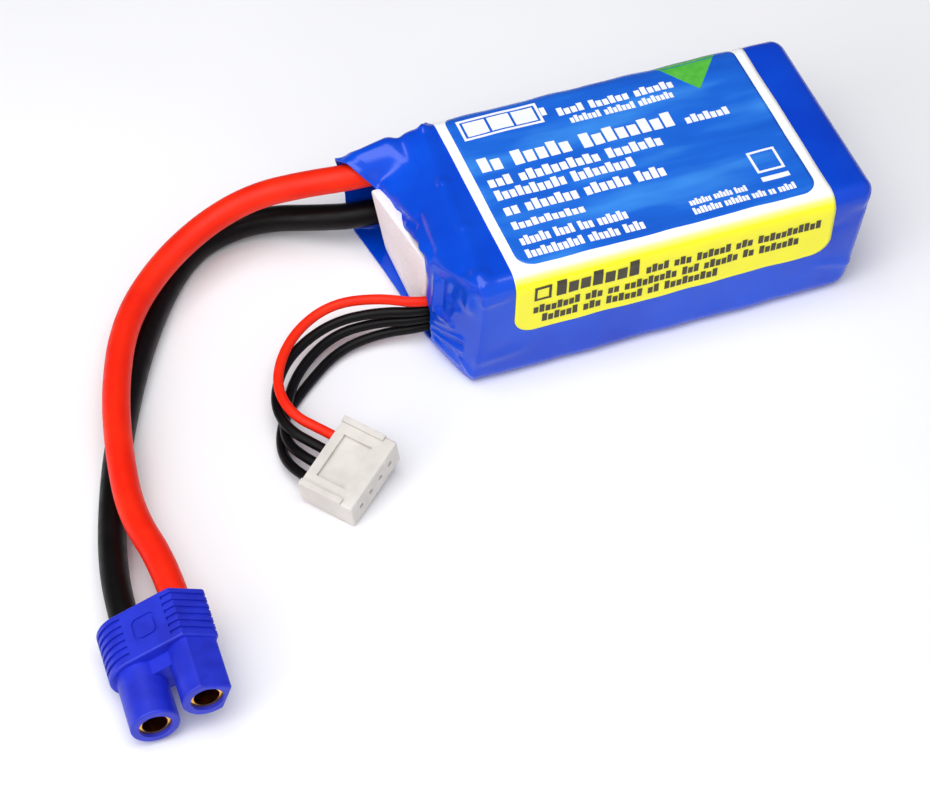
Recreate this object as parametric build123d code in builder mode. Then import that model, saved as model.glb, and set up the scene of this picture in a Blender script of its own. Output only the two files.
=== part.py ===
"""Three-cell lithium polymer battery pack: a soft-cased stack of pouch cells in a heat-shrink
sleeve, with two heavy power leads in a moulded plug and four thin balance leads in a small one.

The pack lies flat on its underside. The origin is on that underside, at the centre of the sleeve.
+X points to the closed rear end, the leads leave at the -X end, +Z is up. Millimetres.
"""
from build123d import *
import os
from math import cos, sin, tan, radians, pi

# ---- sleeve and label ----
pack_length = 70.0
pack_width = 35.0
sleeve_wall = 0.4
edge_radius = 2.5
cell_edge_ease = 0.1       # the cells are this much rounder than the sleeve needs
rear_radius = 1.5
nose_length = 9.5          # how far the sleeve runs on past its front crease, at the near side
hood_drop = 2.8            # how far the top has come down at the mouth
hood_length = 10.0
lip_setback = 1.8          # the lower lip ends this far behind the tip of the hood
side_setback = 4.2         # the far wall ends this far behind it, where the leads turn out
side_drop = 3.8            # and is whole from here up
waist = (5.2, 9.5)         # front edge in plan: back from the tip, in from the near side
brow = (4.4, 19.5)
tip_width = 5.5
mouth_near = 9.1           # the mouth starts this far from the near side
mouth_drop = 5.0           # and its top is this far below the pack's
mouth_depth = 8.0
mouth_corner = (4.5, 3.5)  # its upper near corner is cut off by this much
mouth_foot = (2.5, 1.6)    # and so is the lower one, to leave the film whole at the floor
rear_opening_width = 22.0
rear_opening_height = 9.0

label_thickness = 0.15
label_front = 14.2         # from the tip of the hood to the label
label_rear = 5.9           # from the rear end to the label
label_near_drop = 10.8     # down the near side
label_far_drop = 3.4       # down the far side
label_corner = 3.0

# ---- cell stack ----
cell_count = 3
cell_thickness = 6.1
glue_thickness = 0.35
wrap_thickness = 0.3
rear_pad_thickness = 0.8
rear_pad_margin = 3.5      # all round, inside the cells
rear_gap = 1.8
lead_space = 12.5          # from the tip of the hood to the front of the cells
terrace_length = 3.0
terrace_thickness = 0.4
terrace_root = 1.0         # how far the terrace runs on into the pouch
tab_width = 7.0
tab_thickness = 0.2
near_tab_inset = 6.3       # from the near side to the middle of the near tabs
far_tab_inset = 10.5
slot_clearance = 0.15

# ---- board that joins the tabs ----
board_thickness = 0.8
board_gap = 1.1            # between the cells and the board
board_margin = 0.8
strip_thickness = 0.2
tab_stand_out = 0.6
bus_height = 1.4
bus_leg_width = 3.3
front_pad_thickness = 2.0  # at the near side
front_pad_lean = 2.6       # how much further out its far end stands
front_pad_near = 12.9      # from the near side
front_pad_far = 5.3        # from the far side
front_pad_drop = 5.8
front_pad_corner = 1.2
pad_setback = 5.4          # from the tip of the hood to the pad's front

# ---- leads ----
lead_diameter = 4.0
conductor_diameter = 3.0
balance_diameter = 1.5
lead_joint_length = 1.4
lead_joint_inset = 0.2     # the solder is this much smaller all round than the lead
lead_joint_taper = 6
positive_joint_gap = 0.1       # between the lead and the sleeve's far wall
negative_joint_gap = 0.3
positive_joint_drop = 5.8      # from the top
negative_joint_level = 6.2
balance_joint_length = 0.8
balance_joint_lack = 0.05      # smaller all round than the lead
balance_joint_inset = 10.8     # from the near side
balance_joint_level = 3.1      # of the lowest of them
balance_joint_pitch = 1.7

# ---- power plug ----
plug_origin = (-84.2, -61.3, 5.8)      # middle of the two mouths
plug_yaw = -93.0                       # way the mouths point, in the floor plane
plug_roll = 25.0                       # the positive side is up off the floor
socket_pitch = 7.8
shell_reach = 4.2                      # from the middle of each socket to the end of the shell
shell_thickness = 8.2
shell_length = 8.0
shoulder_reach = 0.7                   # from the positive socket to where the pointed end starts
lobe_diameter = 6.7
lobe_length = 8.2
lobe_reach = 3.8                       # from the positive socket to the point of its lobe
outline_radius = 0.5                   # on the corners of the pointed ends
rim_radius = 0.3                       # round the ends of the shell and the lobes
groove_count = 6
groove_width = 0.55
groove_depth = 0.35
groove_inner = 3.1                     # the flat between the grooved ends, half its width
badge_size = 3.6
badge_corner = 0.9
badge_depth = 0.25
badge_ring = 0.45
socket_diameter = 4.4
socket_clearance = 0.05
socket_setback = 0.5
socket_length = 12.5
bullet_diameter = 3.5
bullet_depth = 8.5
cup_diameter = 3.2
cup_depth = 3.0
strand_gap = 0.2                       # between the strands and the floor of the cup
strand_start = 0.1                     # between the strands and the cut insulation
lead_hole_clearance = 0.3
lead_hole_depth = 2.5
web_length = 2.2
web_thickness = 4.6

# ---- balance plug ----
balance_origin = (-47.1, -32.5, 3.75)  # middle of the plug's front face
balance_yaw = -52.0
balance_roll = 12.0
balance_pitch = 2.5
balance_ways = 4
balance_reach = 2.4                    # from the outer ways to the ends of the plug
balance_thickness = 5.0
balance_length = 8.6
window_inset = 0.05                    # from the middle of the outer ways
window_length = 4.6
window_depth = 0.6
window_setback = 2.6
rail_width = 0.9
rail_height = 0.45
rail_root = 0.4                        # how far the rails run down into the body
pin_hole = 0.8
balance_corner = 0.4
balance_rim = 0.25
rail_overrun = 0.8                     # the rails run on past the window
cavity_size = 1.7
contact_size = 1.6
contact_bore = 1.0
contact_length = 4.8
contact_play = 0.05                    # at each end of a contact in its chamber
face_wall = 1.3
balance_hole_clearance = 0.2

# ---- routes of the leads, from the board to the plugs ----
positive_route = [
    (-26.0, 15.0, 14.6), (-33.5, 15.0, 14.6), (-40.5, 17.4, 13.1), (-48.0, 19.5, 11.0),
    (-56.0, 18.4, 8.8), (-64.5, 13.8, 7.1), (-72.0, 5.8, 6.4), (-76.8, -5.5, 6.3),
    (-79.6, -17.0, 6.4), (-81.2, -28.5, 6.7), (-79.5, -38.8, 7.4), (-79.95, -47.55, 7.45)]
negative_route = [
    (-26.0, 14.8, 6.2), (-32.6, 14.8, 6.2), (-38.6, 17.6, 5.0), (-44.6, 21.2, 3.5),
    (-51.2, 22.2, 2.5), (-57.8, 20.0, 2.1), (-64.0, 13.5, 2.1), (-70.0, 4.6, 2.1),
    (-75.4, -5.6, 2.1), (-79.8, -15.4, 2.1), (-83.2, -25.0, 2.3), (-85.3, -32.8, 3.2),
    (-86.5, -39.8, 4.1), (-87.0, -47.2, 4.15)]
balance_routes = [
    [(-25.2, -6.7, 8.2), (-30.6, -6.7, 8.2), (-36.2, -2.9, 7.7), (-43.2, -0.9, 6.7),
     (-50.2, -4.2, 5.8), (-54.9, -11.2, 5.5), (-54.7, -17.6, 5.3), (-50.9, -21.7, 4.6),
     (-48.1, -25.25, 4.5)],
    [(-25.2, -6.7, 6.5), (-30.7, -6.7, 6.5), (-36.9, -3.9, 5.9), (-44.0, -2.8, 4.8),
     (-51.6, -6.4, 3.9), (-55.8, -13.2, 3.9), (-55.8, -19.0, 4.2), (-52.8, -23.2, 4.05),
     (-50.05, -26.75, 4.0)],
    [(-25.2, -6.7, 4.8), (-30.7, -6.7, 4.8), (-36.9, -4.3, 4.1), (-43.6, -3.6, 3.0),
     (-50.4, -8.0, 2.4), (-54.4, -14.3, 2.35), (-56.3, -19.9, 2.7), (-54.9, -24.4, 3.45),
     (-51.95, -28.25, 3.5)],
    [(-25.2, -6.7, 3.1), (-30.7, -6.7, 3.1), (-36.6, -5.0, 2.3), (-43.2, -5.2, 1.2),
     (-49.8, -9.9, 0.85), (-55.0, -14.8, 0.85), (-57.2, -20.6, 1.2), (-56.7, -26.1, 2.85),
     (-53.9, -29.75, 2.95)]]

# ---- worked out from the sizes above ----
tip_x = -pack_length / 2
rear_x = pack_length / 2
near_y = -pack_width / 2
far_y = pack_width / 2
stack_bottom = sleeve_wall + wrap_thickness
stack_height = cell_count * cell_thickness + (cell_count - 1) * glue_thickness
pack_height = stack_height + 2 * stack_bottom
mouth_top = pack_height - mouth_drop
mouth_near_y = near_y + mouth_near
side_top = pack_height - side_drop
cell_edge = edge_radius - stack_bottom + cell_edge_ease
cell_width = pack_width - 2 * stack_bottom
cell_front = tip_x + lead_space
cell_rear = rear_x - sleeve_wall - rear_pad_thickness - rear_gap
cell_levels = [stack_bottom + cell_thickness / 2 + k * (cell_thickness + glue_thickness)
               for k in range(cell_count)]
board_rear = cell_front - board_gap
board_front = board_rear - board_thickness
strip_front = board_front - strip_thickness
near_tab_y = near_y + near_tab_inset
far_tab_y = far_y - far_tab_inset
joint_side = far_y - sleeve_wall - lead_diameter / 2
positive_place = (joint_side - positive_joint_gap, pack_height - positive_joint_drop)
negative_place = (joint_side - negative_joint_gap, negative_joint_level)
balance_places = [(near_y + balance_joint_inset, balance_joint_level + k * balance_joint_pitch)
                  for k in range(balance_ways)]
cut_margin = 0.1                       # how far a cut starts outside what it cuts


def mouth_plane(origin, yaw, roll):
    """Plane across a plug's mouth: Z out of it, X along its width to the positive end."""
    turn = radians(yaw)
    lean = radians(roll)
    return Plane(
        origin=origin,
        x_dir=(-sin(turn) * cos(lean), cos(turn) * cos(lean), sin(lean)),
        z_dir=(cos(turn), sin(turn), 0))


shell_end = socket_pitch / 2 + shell_reach
shell_shoulder = socket_pitch / 2 + shoulder_reach
lobe_point = socket_pitch / 2 + lobe_reach
balance_span = (balance_ways - 1) * balance_pitch
balance_width = balance_span + 2 * balance_reach
window_width = balance_span - 2 * window_inset
plug_plane = mouth_plane(plug_origin, plug_yaw, plug_roll)
balance_plane = mouth_plane(balance_origin, balance_yaw, balance_roll)


def finish(part, name):
    """Label one piece and write it to its own file."""
    part.label = name
    export_step(part, f"parts/{name}.step")
    return part


# ---- shrink sleeve ----
def sleeve_form(inset):
    """Solid bounded by the sleeve's outer surface drawn in by inset."""
    crease_x = tip_x + nose_length
    plan = [
        (crease_x, near_y),
        (tip_x + waist[0], near_y + waist[1]),
        (tip_x + brow[0], near_y + brow[1]),
        (tip_x, far_y - tip_width),
        (tip_x, far_y),
        (rear_x, far_y),
        (rear_x, near_y)]
    with BuildPart() as form:
        with BuildSketch(Plane.XY.offset(inset)) as outline:
            with BuildLine():
                Polyline(*plan, close=True)
            make_face()
            if inset > 0:
                offset(amount=-inset, kind=Kind.INTERSECTION)
        extrude(amount=pack_height - 2 * inset)
        fillet(form.edges().filter_by(Axis.X), edge_radius - inset)
        fillet(form.faces().sort_by(Axis.X)[-1].edges(), rear_radius - inset)
        with BuildSketch(Plane.XZ.offset(-pack_width)):
            with BuildLine():
                Polyline(
                    (tip_x + hood_length, pack_height - inset),
                    (tip_x - hood_length, pack_height - inset - 2 * hood_drop),
                    (tip_x - hood_length, pack_height + hood_length),
                    (tip_x + hood_length, pack_height + hood_length),
                    close=True)
            make_face()
        extrude(amount=2 * pack_width, mode=Mode.SUBTRACT)
    return form.part


def make_sleeve():
    cavity = sleeve_form(sleeve_wall)
    with BuildPart() as sleeve:
        add(sleeve_form(0))
        add(cavity, mode=Mode.SUBTRACT)
        # mouth in the front, from the balance leads to the far side
        with BuildSketch(Plane.YZ.offset(tip_x + mouth_depth)):
            with BuildLine():
                Polyline(
                    (mouth_near_y, sleeve_wall + mouth_foot[1]),
                    (mouth_near_y, mouth_top - mouth_corner[1]),
                    (mouth_near_y + mouth_corner[0], mouth_top),
                    (far_y - sleeve_wall, mouth_top),
                    (far_y - sleeve_wall, sleeve_wall),
                    (mouth_near_y + mouth_foot[0], sleeve_wall),
                    close=True)
            make_face()
        extrude(amount=-mouth_depth - cut_margin, mode=Mode.SUBTRACT)
        # the open end of the hood, and the lip cut back below it
        with BuildSketch(Plane.YZ.offset(tip_x + sleeve_wall + cut_margin)):
            with Locations((far_y - sleeve_wall, 0)):
                Rectangle(pack_width, pack_height, align=(Align.MAX, Align.MIN))
        extrude(amount=-sleeve_wall - 2 * cut_margin, mode=Mode.SUBTRACT)
        with BuildSketch(Plane.XZ.offset(-far_y - cut_margin)):
            with Locations((tip_x, -cut_margin)):
                Rectangle(lip_setback, mouth_top + cut_margin, align=Align.MIN)
        extrude(amount=pack_width, mode=Mode.SUBTRACT)
        with BuildSketch(Plane.XZ.offset(-far_y - cut_margin)):
            with Locations((tip_x, edge_radius)):
                Rectangle(side_setback, side_top - edge_radius, align=Align.MIN)
        extrude(amount=cut_margin + edge_radius, mode=Mode.SUBTRACT)
        # the sleeve shrinks in over the rear end and leaves an oval
        with BuildSketch(Plane.YZ.offset(rear_x + cut_margin)):
            with Locations((0, pack_height / 2)):
                SlotOverall(rear_opening_width, rear_opening_height)
        extrude(amount=-sleeve_wall - 2 * cut_margin, mode=Mode.SUBTRACT)
    return finish(sleeve.part, "shrink_sleeve")


def make_label():
    """Thin sheet over the top, the near side and a strip of the far side."""
    front = tip_x + label_front
    near_level = pack_height - label_near_drop
    far_level = pack_height - label_far_drop
    with BuildPart() as label:
        with BuildSketch(Plane.YZ.offset(front)):
            with Locations((0, pack_height / 2)):
                RectangleRounded(
                    pack_width + 2 * label_thickness, pack_height + 2 * label_thickness,
                    edge_radius + label_thickness)
                RectangleRounded(pack_width, pack_height, edge_radius, mode=Mode.SUBTRACT)
            with Locations((0, near_level)):
                Rectangle(pack_width, pack_height, align=(Align.MAX, Align.MAX),
                          mode=Mode.SUBTRACT)
            with Locations((0, far_level)):
                Rectangle(pack_width, pack_height + far_level, align=(Align.MIN, Align.MAX),
                          mode=Mode.SUBTRACT)
        extrude(amount=rear_x - label_rear - front)
        fillet(label.edges().filter_by(Axis.Y).group_by(Axis.Z)[0], label_corner)
    return finish(label.part, "label")


# ---- cell stack ----
def make_cell(number):
    """Pouch with a thin sealed terrace at the front that the tabs come out of."""
    level = cell_levels[number]
    length = cell_rear - cell_front - terrace_length
    with BuildPart() as cell:
        with Locations((cell_rear - length / 2, 0, level)):
            Box(length, cell_width, cell_thickness)
        fillet(cell.edges().filter_by(Axis.X), cell_edge)
        fillet(cell.faces().sort_by(Axis.X)[0].edges(), cell_edge / 2)
        with Locations((cell_front + (terrace_length + terrace_root) / 2, 0, level)):
            Box(terrace_length + terrace_root, cell_width - 2 * cell_edge, terrace_thickness)
    return finish(cell.part, f"cell_{number + 1}")


def make_glue_pad(number):
    level = cell_levels[number] + (cell_thickness + glue_thickness) / 2
    length = cell_rear - cell_front - terrace_length - 2 * cell_edge
    with BuildPart() as pad:
        with Locations((cell_rear - cell_edge - length / 2, 0, level)):
            Box(length, cell_width - 4 * cell_edge, glue_thickness)
    return finish(pad.part, f"glue_pad_{number + 1}")


def make_stack_wrap():
    """Paper tube around the three cells."""
    front = cell_front + terrace_length
    with BuildPart() as wrap:
        with BuildSketch(Plane.YZ.offset(front)):
            with Locations((0, stack_bottom + stack_height / 2)):
                RectangleRounded(
                    cell_width + 2 * wrap_thickness, stack_height + 2 * wrap_thickness,
                    cell_edge + wrap_thickness)
                RectangleRounded(cell_width, stack_height, cell_edge, mode=Mode.SUBTRACT)
        extrude(amount=cell_rear - front)
    return finish(wrap.part, "stack_wrap")


def make_rear_pad():
    with BuildPart() as pad:
        with BuildSketch(Plane.YZ.offset(cell_rear)):
            with Locations((0, pack_height / 2)):
                RectangleRounded(
                    cell_width - 2 * rear_pad_margin, stack_height - 2 * rear_pad_margin,
                    cell_edge)
        extrude(amount=rear_pad_thickness)
    return finish(pad.part, "rear_pad")


def make_front_pad():
    """White pad that closes the mouth between the leads; its front leans out to the far side."""
    near_front = tip_x + pad_setback
    rear = near_front + front_pad_thickness
    near = near_y + front_pad_near
    far = far_y - front_pad_far
    with BuildPart() as pad:
        with BuildSketch(Plane.XY.offset(sleeve_wall)):
            with BuildLine():
                Polyline(
                    (near_front, near), (near_front - front_pad_lean, far), (rear, far),
                    (rear, near), close=True)
            make_face()
        extrude(amount=pack_height - front_pad_drop - sleeve_wall)
        fillet(pad.edges().filter_by(Axis.X), front_pad_corner)
    return finish(pad.part, "front_pad")


# ---- tabs, board and links ----
def tab_y(number, positive):
    """Alternate cells are turned over, so that each link joins neighbouring tabs."""
    near = positive if number % 2 == 0 else not positive
    return near_tab_y if near else far_tab_y


def make_tab(number, positive):
    front = strip_front - tab_stand_out
    with BuildPart() as tab:
        with Locations(((front + cell_front) / 2, tab_y(number, positive), cell_levels[number])):
            Box(cell_front - front, tab_width, tab_thickness)
    return finish(tab.part, f"{'positive' if positive else 'negative'}_tab_{number + 1}")


def make_tab_board():
    with BuildPart() as board:
        with BuildSketch(Plane.YZ.offset(board_front)):
            with Locations((0, pack_height / 2)):
                Rectangle(cell_width - 2 * board_margin, stack_height - 2 * board_margin)
            with Locations([(y, level) for level in cell_levels
                            for y in (near_tab_y, far_tab_y)]):
                Rectangle(tab_width + 2 * slot_clearance, tab_thickness + 2 * slot_clearance,
                          mode=Mode.SUBTRACT)
        extrude(amount=board_thickness)
    return finish(board.part, "tab_board")


def make_series_link(number):
    """Strip between the tabs of one cell and the next, on the side where they meet."""
    lower = cell_levels[number] + tab_thickness / 2
    upper = cell_levels[number + 1] - tab_thickness / 2
    with BuildPart() as link:
        with Locations((board_front - strip_thickness / 2, tab_y(number, True),
                        (lower + upper) / 2)):
            Box(strip_thickness, tab_width, upper - lower)
    return finish(link.part, f"series_link_{number + 1}")


def make_bus(name, tab_level, tab_side, joint_place, above):
    """Strip from one end tab across the board to the joint of its lead."""
    direction = 1 if above else -1
    edge = tab_level + direction * tab_thickness / 2
    back = edge + direction * bus_height
    leg_far = joint_place[0] + bus_leg_width / 2
    leg_near = joint_place[0] - bus_leg_width / 2
    start = tab_side - tab_width / 2
    reach = joint_place[1] - direction * bus_leg_width / 2
    with BuildPart() as bus:
        with BuildSketch(Plane.YZ.offset(strip_front)):
            with BuildLine():
                Polyline(
                    (start, edge), (start, back), (leg_far, back), (leg_far, reach),
                    (leg_near, reach), (leg_near, edge), close=True)
            make_face()
        extrude(amount=strip_thickness)
    return finish(bus.part, name)


def make_lead_joint(name, joint_place):
    """Solder cone between a bus and the cut end of a lead."""
    with BuildPart() as joint:
        with BuildSketch(Plane.YZ.offset(strip_front)):
            with Locations(joint_place):
                Circle(lead_diameter / 2 - lead_joint_inset)
        extrude(amount=-lead_joint_length, taper=lead_joint_taper)
    return finish(joint.part, name)


def make_balance_joints():
    with BuildPart() as joints:
        with BuildSketch(Plane.YZ.offset(board_front)):
            with Locations(balance_places):
                Circle(balance_diameter / 2 - balance_joint_lack)
        extrude(amount=-balance_joint_length)
    return finish(joints.part, "balance_joints")


# ---- leads ----
def bend_radii(points):
    """Largest arcs that the runs allow: 0.45 of the shorter run over tan of half the turn."""
    radii = []
    for before, at, after in zip(points, points[1:], points[2:]):
        run_in = Vector(*at) - Vector(*before)
        run_out = Vector(*after) - Vector(*at)
        half_turn = radians(run_in.get_angle(run_out)) / 2
        radii.append(0.45 * min(run_in.length, run_out.length) / tan(half_turn))
    return radii


def make_lead(name, points, diameter):
    radii = bend_radii(points)
    with BuildPart() as lead:
        with BuildLine() as route:
            FilletPolyline(*points, radius=radii)
        start = Plane(origin=points[0], z_dir=Vector(*points[1]) - Vector(*points[0]))
        with BuildSketch(start):
            Circle(diameter / 2)
        sweep(path=route.wires()[0])
    length = route.wires()[0].length
    expected = pi * diameter ** 2 / 4 * length
    runs = [(Vector(*b) - Vector(*a)).length for a, b in zip(points, points[1:])]
    print(f"{name}: length {length:.1f}, volume {lead.part.volume:.1f} of {expected:.1f}")
    print("  runs ", " ".join(f"{run:.1f}" for run in runs))
    print("  radii", " ".join(f"{radius:.1f}" for radius in radii))
    return finish(lead.part, name)


# ---- power plug ----
def plug_level(depth):
    """Plane across the plug, depth behind its mouths."""
    return plug_plane.offset(-depth)


def socket_places():
    return [(-socket_pitch / 2, 0), (socket_pitch / 2, 0)]


def pointed_outline(left, half, shoulder, point):
    """Outline with a half circle at the left, then flats to a shoulder and facets to a point."""
    with BuildSketch() as outline:
        with BuildLine():
            top = Line((left, half), (shoulder, half))
            nose = Polyline(top @ 1, (point, 0), (shoulder, -half))
            bottom = Line(nose @ 1, (left, -half))
            ThreePointArc(bottom @ 1, (left - half, 0), top @ 0)
        make_face()
        fillet(outline.vertices().sort_by(Axis.X)[-3:], outline_radius)
    return outline.sketch


def shell_outline(margin=0.0):
    """Outline of the ribbed shell, round at the negative end, drawn in by margin."""
    half = shell_thickness / 2 - margin
    left = shell_thickness / 2 - shell_end
    return pointed_outline(left, half, shell_shoulder, shell_end - margin)


def groove_ring():
    """What one groove takes away: a rim round each end, and nothing from the flat middle."""
    with BuildSketch() as ring:
        add(shell_outline())
        add(shell_outline(groove_depth), mode=Mode.SUBTRACT)
        Rectangle(2 * groove_inner, shell_thickness + cut_margin, mode=Mode.SUBTRACT)
    return ring.sketch


def lobe_outlines():
    """A round lobe at the negative end and a pointed one at the positive end."""
    with BuildSketch() as outlines:
        with Locations(socket_places()[0]):
            Circle(lobe_diameter / 2)
        add(pointed_outline(socket_pitch / 2, lobe_diameter / 2, shell_shoulder, lobe_point))
    return outlines.sketch


def make_plug_housing():
    rear = lobe_length + shell_length
    outward = Axis(plug_plane.origin, plug_plane.z_dir)
    with BuildPart() as housing:
        with BuildSketch(plug_level(rear)):
            add(shell_outline())
        extrude(amount=shell_length)
        ends = housing.faces().sort_by(outward)
        fillet(ends[0].edges() + ends[-1].edges(), rim_radius)
        # grooves round both ends, open across the flat middle
        pitch = shell_length / (groove_count + 1)
        for number in range(groove_count):
            with BuildSketch(plug_level(rear - (number + 1) * pitch + groove_width / 2)):
                add(groove_ring())
            extrude(amount=groove_width, mode=Mode.SUBTRACT)
        # raised ring of a plain badge in the middle of the flat
        middle = plug_level(lobe_length + shell_length / 2)
        badge = Plane(
            origin=middle.origin + middle.y_dir * (shell_thickness / 2),
            x_dir=middle.x_dir, z_dir=middle.y_dir)
        with BuildSketch(badge):
            RectangleRounded(badge_size, badge_size, badge_corner)
            RectangleRounded(
                badge_size - 2 * badge_ring, badge_size - 2 * badge_ring,
                badge_corner - badge_ring / 2,
                mode=Mode.SUBTRACT)
        extrude(amount=-badge_depth, mode=Mode.SUBTRACT)
        # lobes: one round, one pointed, with a short web between them
        with BuildSketch(plug_level(lobe_length)):
            add(lobe_outlines())
        extrude(amount=lobe_length)
        fillet(housing.faces().group_by(outward)[-1].edges(), rim_radius)
        with BuildSketch(plug_level(lobe_length)):
            Rectangle(socket_pitch, web_thickness)
        extrude(amount=web_length)
        # each way: socket chamber from the mouth, throat, and lead hole from the rear
        with BuildSketch(plug_level(0)):
            with Locations(socket_places()):
                Circle(socket_diameter / 2 + socket_clearance)
        extrude(amount=-(socket_setback + socket_length), mode=Mode.SUBTRACT)
        with BuildSketch(plug_level(0)):
            with Locations(socket_places()):
                Circle(conductor_diameter / 2 + socket_clearance)
        extrude(amount=-rear, mode=Mode.SUBTRACT)
        with BuildSketch(plug_level(rear)):
            with Locations(socket_places()):
                Circle(lead_diameter / 2 + lead_hole_clearance)
        extrude(amount=lead_hole_depth, mode=Mode.SUBTRACT)
    return finish(housing.part, "power_plug_housing")


def make_socket(name, place):
    """Gold-plated female bullet contact with a solder cup behind it."""
    with BuildPart() as socket:
        with BuildSketch(plug_level(socket_setback)):
            with Locations(place):
                Circle(socket_diameter / 2)
        extrude(amount=-socket_length)
        with BuildSketch(plug_level(socket_setback)):
            with Locations(place):
                Circle(bullet_diameter / 2)
        extrude(amount=-bullet_depth, mode=Mode.SUBTRACT)
        with BuildSketch(plug_level(socket_setback + socket_length)):
            with Locations(place):
                Circle(cup_diameter / 2)
        extrude(amount=cup_depth, mode=Mode.SUBTRACT)
    return finish(socket.part, name)


def make_lead_end(name, place):
    """Tinned strands from the cut insulation into the solder cup."""
    start = lobe_length + shell_length - lead_hole_depth + strand_start
    stop = socket_setback + socket_length - cup_depth + strand_gap
    with BuildPart() as strands:
        with BuildSketch(plug_level(start)):
            with Locations(place):
                Circle(conductor_diameter / 2)
        extrude(amount=start - stop)
    return finish(strands.part, name)


# ---- balance plug ----
def balance_level(depth):
    """Plane across the balance plug, depth behind its front face."""
    return balance_plane.offset(-depth)


def way_places():
    """One place for each way, from the positive end."""
    return [(balance_span / 2 - k * balance_pitch, 0) for k in range(balance_ways)]


def make_balance_housing():
    outward = Axis(balance_plane.origin, balance_plane.z_dir)
    with BuildPart() as housing:
        with BuildSketch(balance_level(balance_length)):
            RectangleRounded(balance_width, balance_thickness, balance_corner)
        extrude(amount=balance_length)
        fillet(housing.faces().sort_by(outward)[-1].edges(), balance_rim)
        # guide rails along the two edges of the top
        with BuildSketch(balance_level(balance_length)):
            with Locations([(side * (balance_width - rail_width) / 2,
                             (balance_thickness + rail_height - rail_root) / 2)
                            for side in (-1, 1)]):
                Rectangle(rail_width, rail_height + rail_root)
        extrude(amount=balance_length - window_setback + rail_overrun)
        # sunk window over the contacts
        window = balance_level(window_setback + window_length / 2)
        top = Plane(
            origin=window.origin + window.y_dir * (balance_thickness / 2),
            x_dir=window.x_dir, z_dir=window.y_dir)
        with BuildSketch(top):
            Rectangle(window_width, window_length)
        extrude(amount=-window_depth, mode=Mode.SUBTRACT)
        # pin holes in the face, contact chambers, and lead holes in the rear
        with BuildSketch(balance_level(0)):
            with Locations(way_places()):
                Rectangle(pin_hole, pin_hole)
        extrude(amount=-face_wall, mode=Mode.SUBTRACT)
        with BuildSketch(balance_level(face_wall)):
            with Locations(way_places()):
                Rectangle(cavity_size, cavity_size)
        extrude(amount=-contact_length, mode=Mode.SUBTRACT)
        with BuildSketch(balance_level(balance_length)):
            with Locations(way_places()):
                Circle(balance_diameter / 2 + balance_hole_clearance)
        extrude(amount=balance_length - face_wall - contact_length, mode=Mode.SUBTRACT)
    return finish(housing.part, "balance_plug_housing")


def make_balance_contact(number):
    """Crimped box contact, open through its length."""
    with BuildPart() as contact:
        with BuildSketch(balance_level(face_wall + contact_play)):
            with Locations(way_places()[number]):
                Rectangle(contact_size, contact_size)
                Rectangle(contact_bore, contact_bore, mode=Mode.SUBTRACT)
        extrude(amount=-(contact_length - 2 * contact_play))
    return finish(contact.part, f"balance_contact_{number + 1}")


# ---- build ----
os.makedirs("parts", exist_ok=True)
make_sleeve()
make_label()
make_stack_wrap()
make_rear_pad()
make_front_pad()
make_tab_board()
for cell_number in range(cell_count):
    make_cell(cell_number)
    make_tab(cell_number, positive=True)
    make_tab(cell_number, positive=False)
for link_number in range(cell_count - 1):
    make_glue_pad(link_number)
    make_series_link(link_number)
last_cell = cell_count - 1
make_bus("positive_bus", cell_levels[last_cell], tab_y(last_cell, True), positive_place, True)
make_bus("negative_bus", cell_levels[0], tab_y(0, False), negative_place, False)
make_lead_joint("positive_joint", positive_place)
make_lead_joint("negative_joint", negative_place)
make_balance_joints()
make_lead("positive_lead", positive_route, lead_diameter)
make_lead("negative_lead", negative_route, lead_diameter)
make_plug_housing()
for side, socket_place in zip(("negative", "positive"), socket_places()):
    make_socket(f"{side}_socket", socket_place)
    make_lead_end(f"{side}_lead_end", socket_place)
make_balance_housing()
for way in range(balance_ways):
    make_lead(f"balance_lead_{way + 1}", balance_routes[way], balance_diameter)
    make_balance_contact(way)
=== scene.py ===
import bmesh
import bpy
import numpy as np
from mathutils import Matrix, Vector


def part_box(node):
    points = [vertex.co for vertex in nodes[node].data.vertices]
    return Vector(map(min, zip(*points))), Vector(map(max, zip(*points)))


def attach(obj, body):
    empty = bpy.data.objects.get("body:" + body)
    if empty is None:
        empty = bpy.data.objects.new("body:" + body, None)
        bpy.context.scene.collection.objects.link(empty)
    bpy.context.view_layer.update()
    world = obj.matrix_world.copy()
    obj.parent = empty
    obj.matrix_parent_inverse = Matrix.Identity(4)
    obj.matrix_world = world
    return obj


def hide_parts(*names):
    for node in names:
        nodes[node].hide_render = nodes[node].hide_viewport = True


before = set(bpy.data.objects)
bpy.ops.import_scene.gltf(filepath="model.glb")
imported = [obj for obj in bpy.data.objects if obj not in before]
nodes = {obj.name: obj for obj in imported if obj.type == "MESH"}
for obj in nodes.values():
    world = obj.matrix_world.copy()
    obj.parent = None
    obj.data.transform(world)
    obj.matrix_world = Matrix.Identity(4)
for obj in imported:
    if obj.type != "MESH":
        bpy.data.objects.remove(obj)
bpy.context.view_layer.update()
mm = 0.001
print("frame loaded,", len(nodes), "nodes")


def linearColour(hexText):
    # sRGB to linear: c/12.92 up to 0.04045, above it ((c + 0.055)/1.055) to the power 2.4
    part = np.array([int(hexText[k:k + 2], 16) for k in (0, 2, 4)]) / 255
    line = np.where(part <= 0.04045, part / 12.92, ((part + 0.055) / 1.055) ** 2.4)
    return (*line.tolist(), 1.0)


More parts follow.
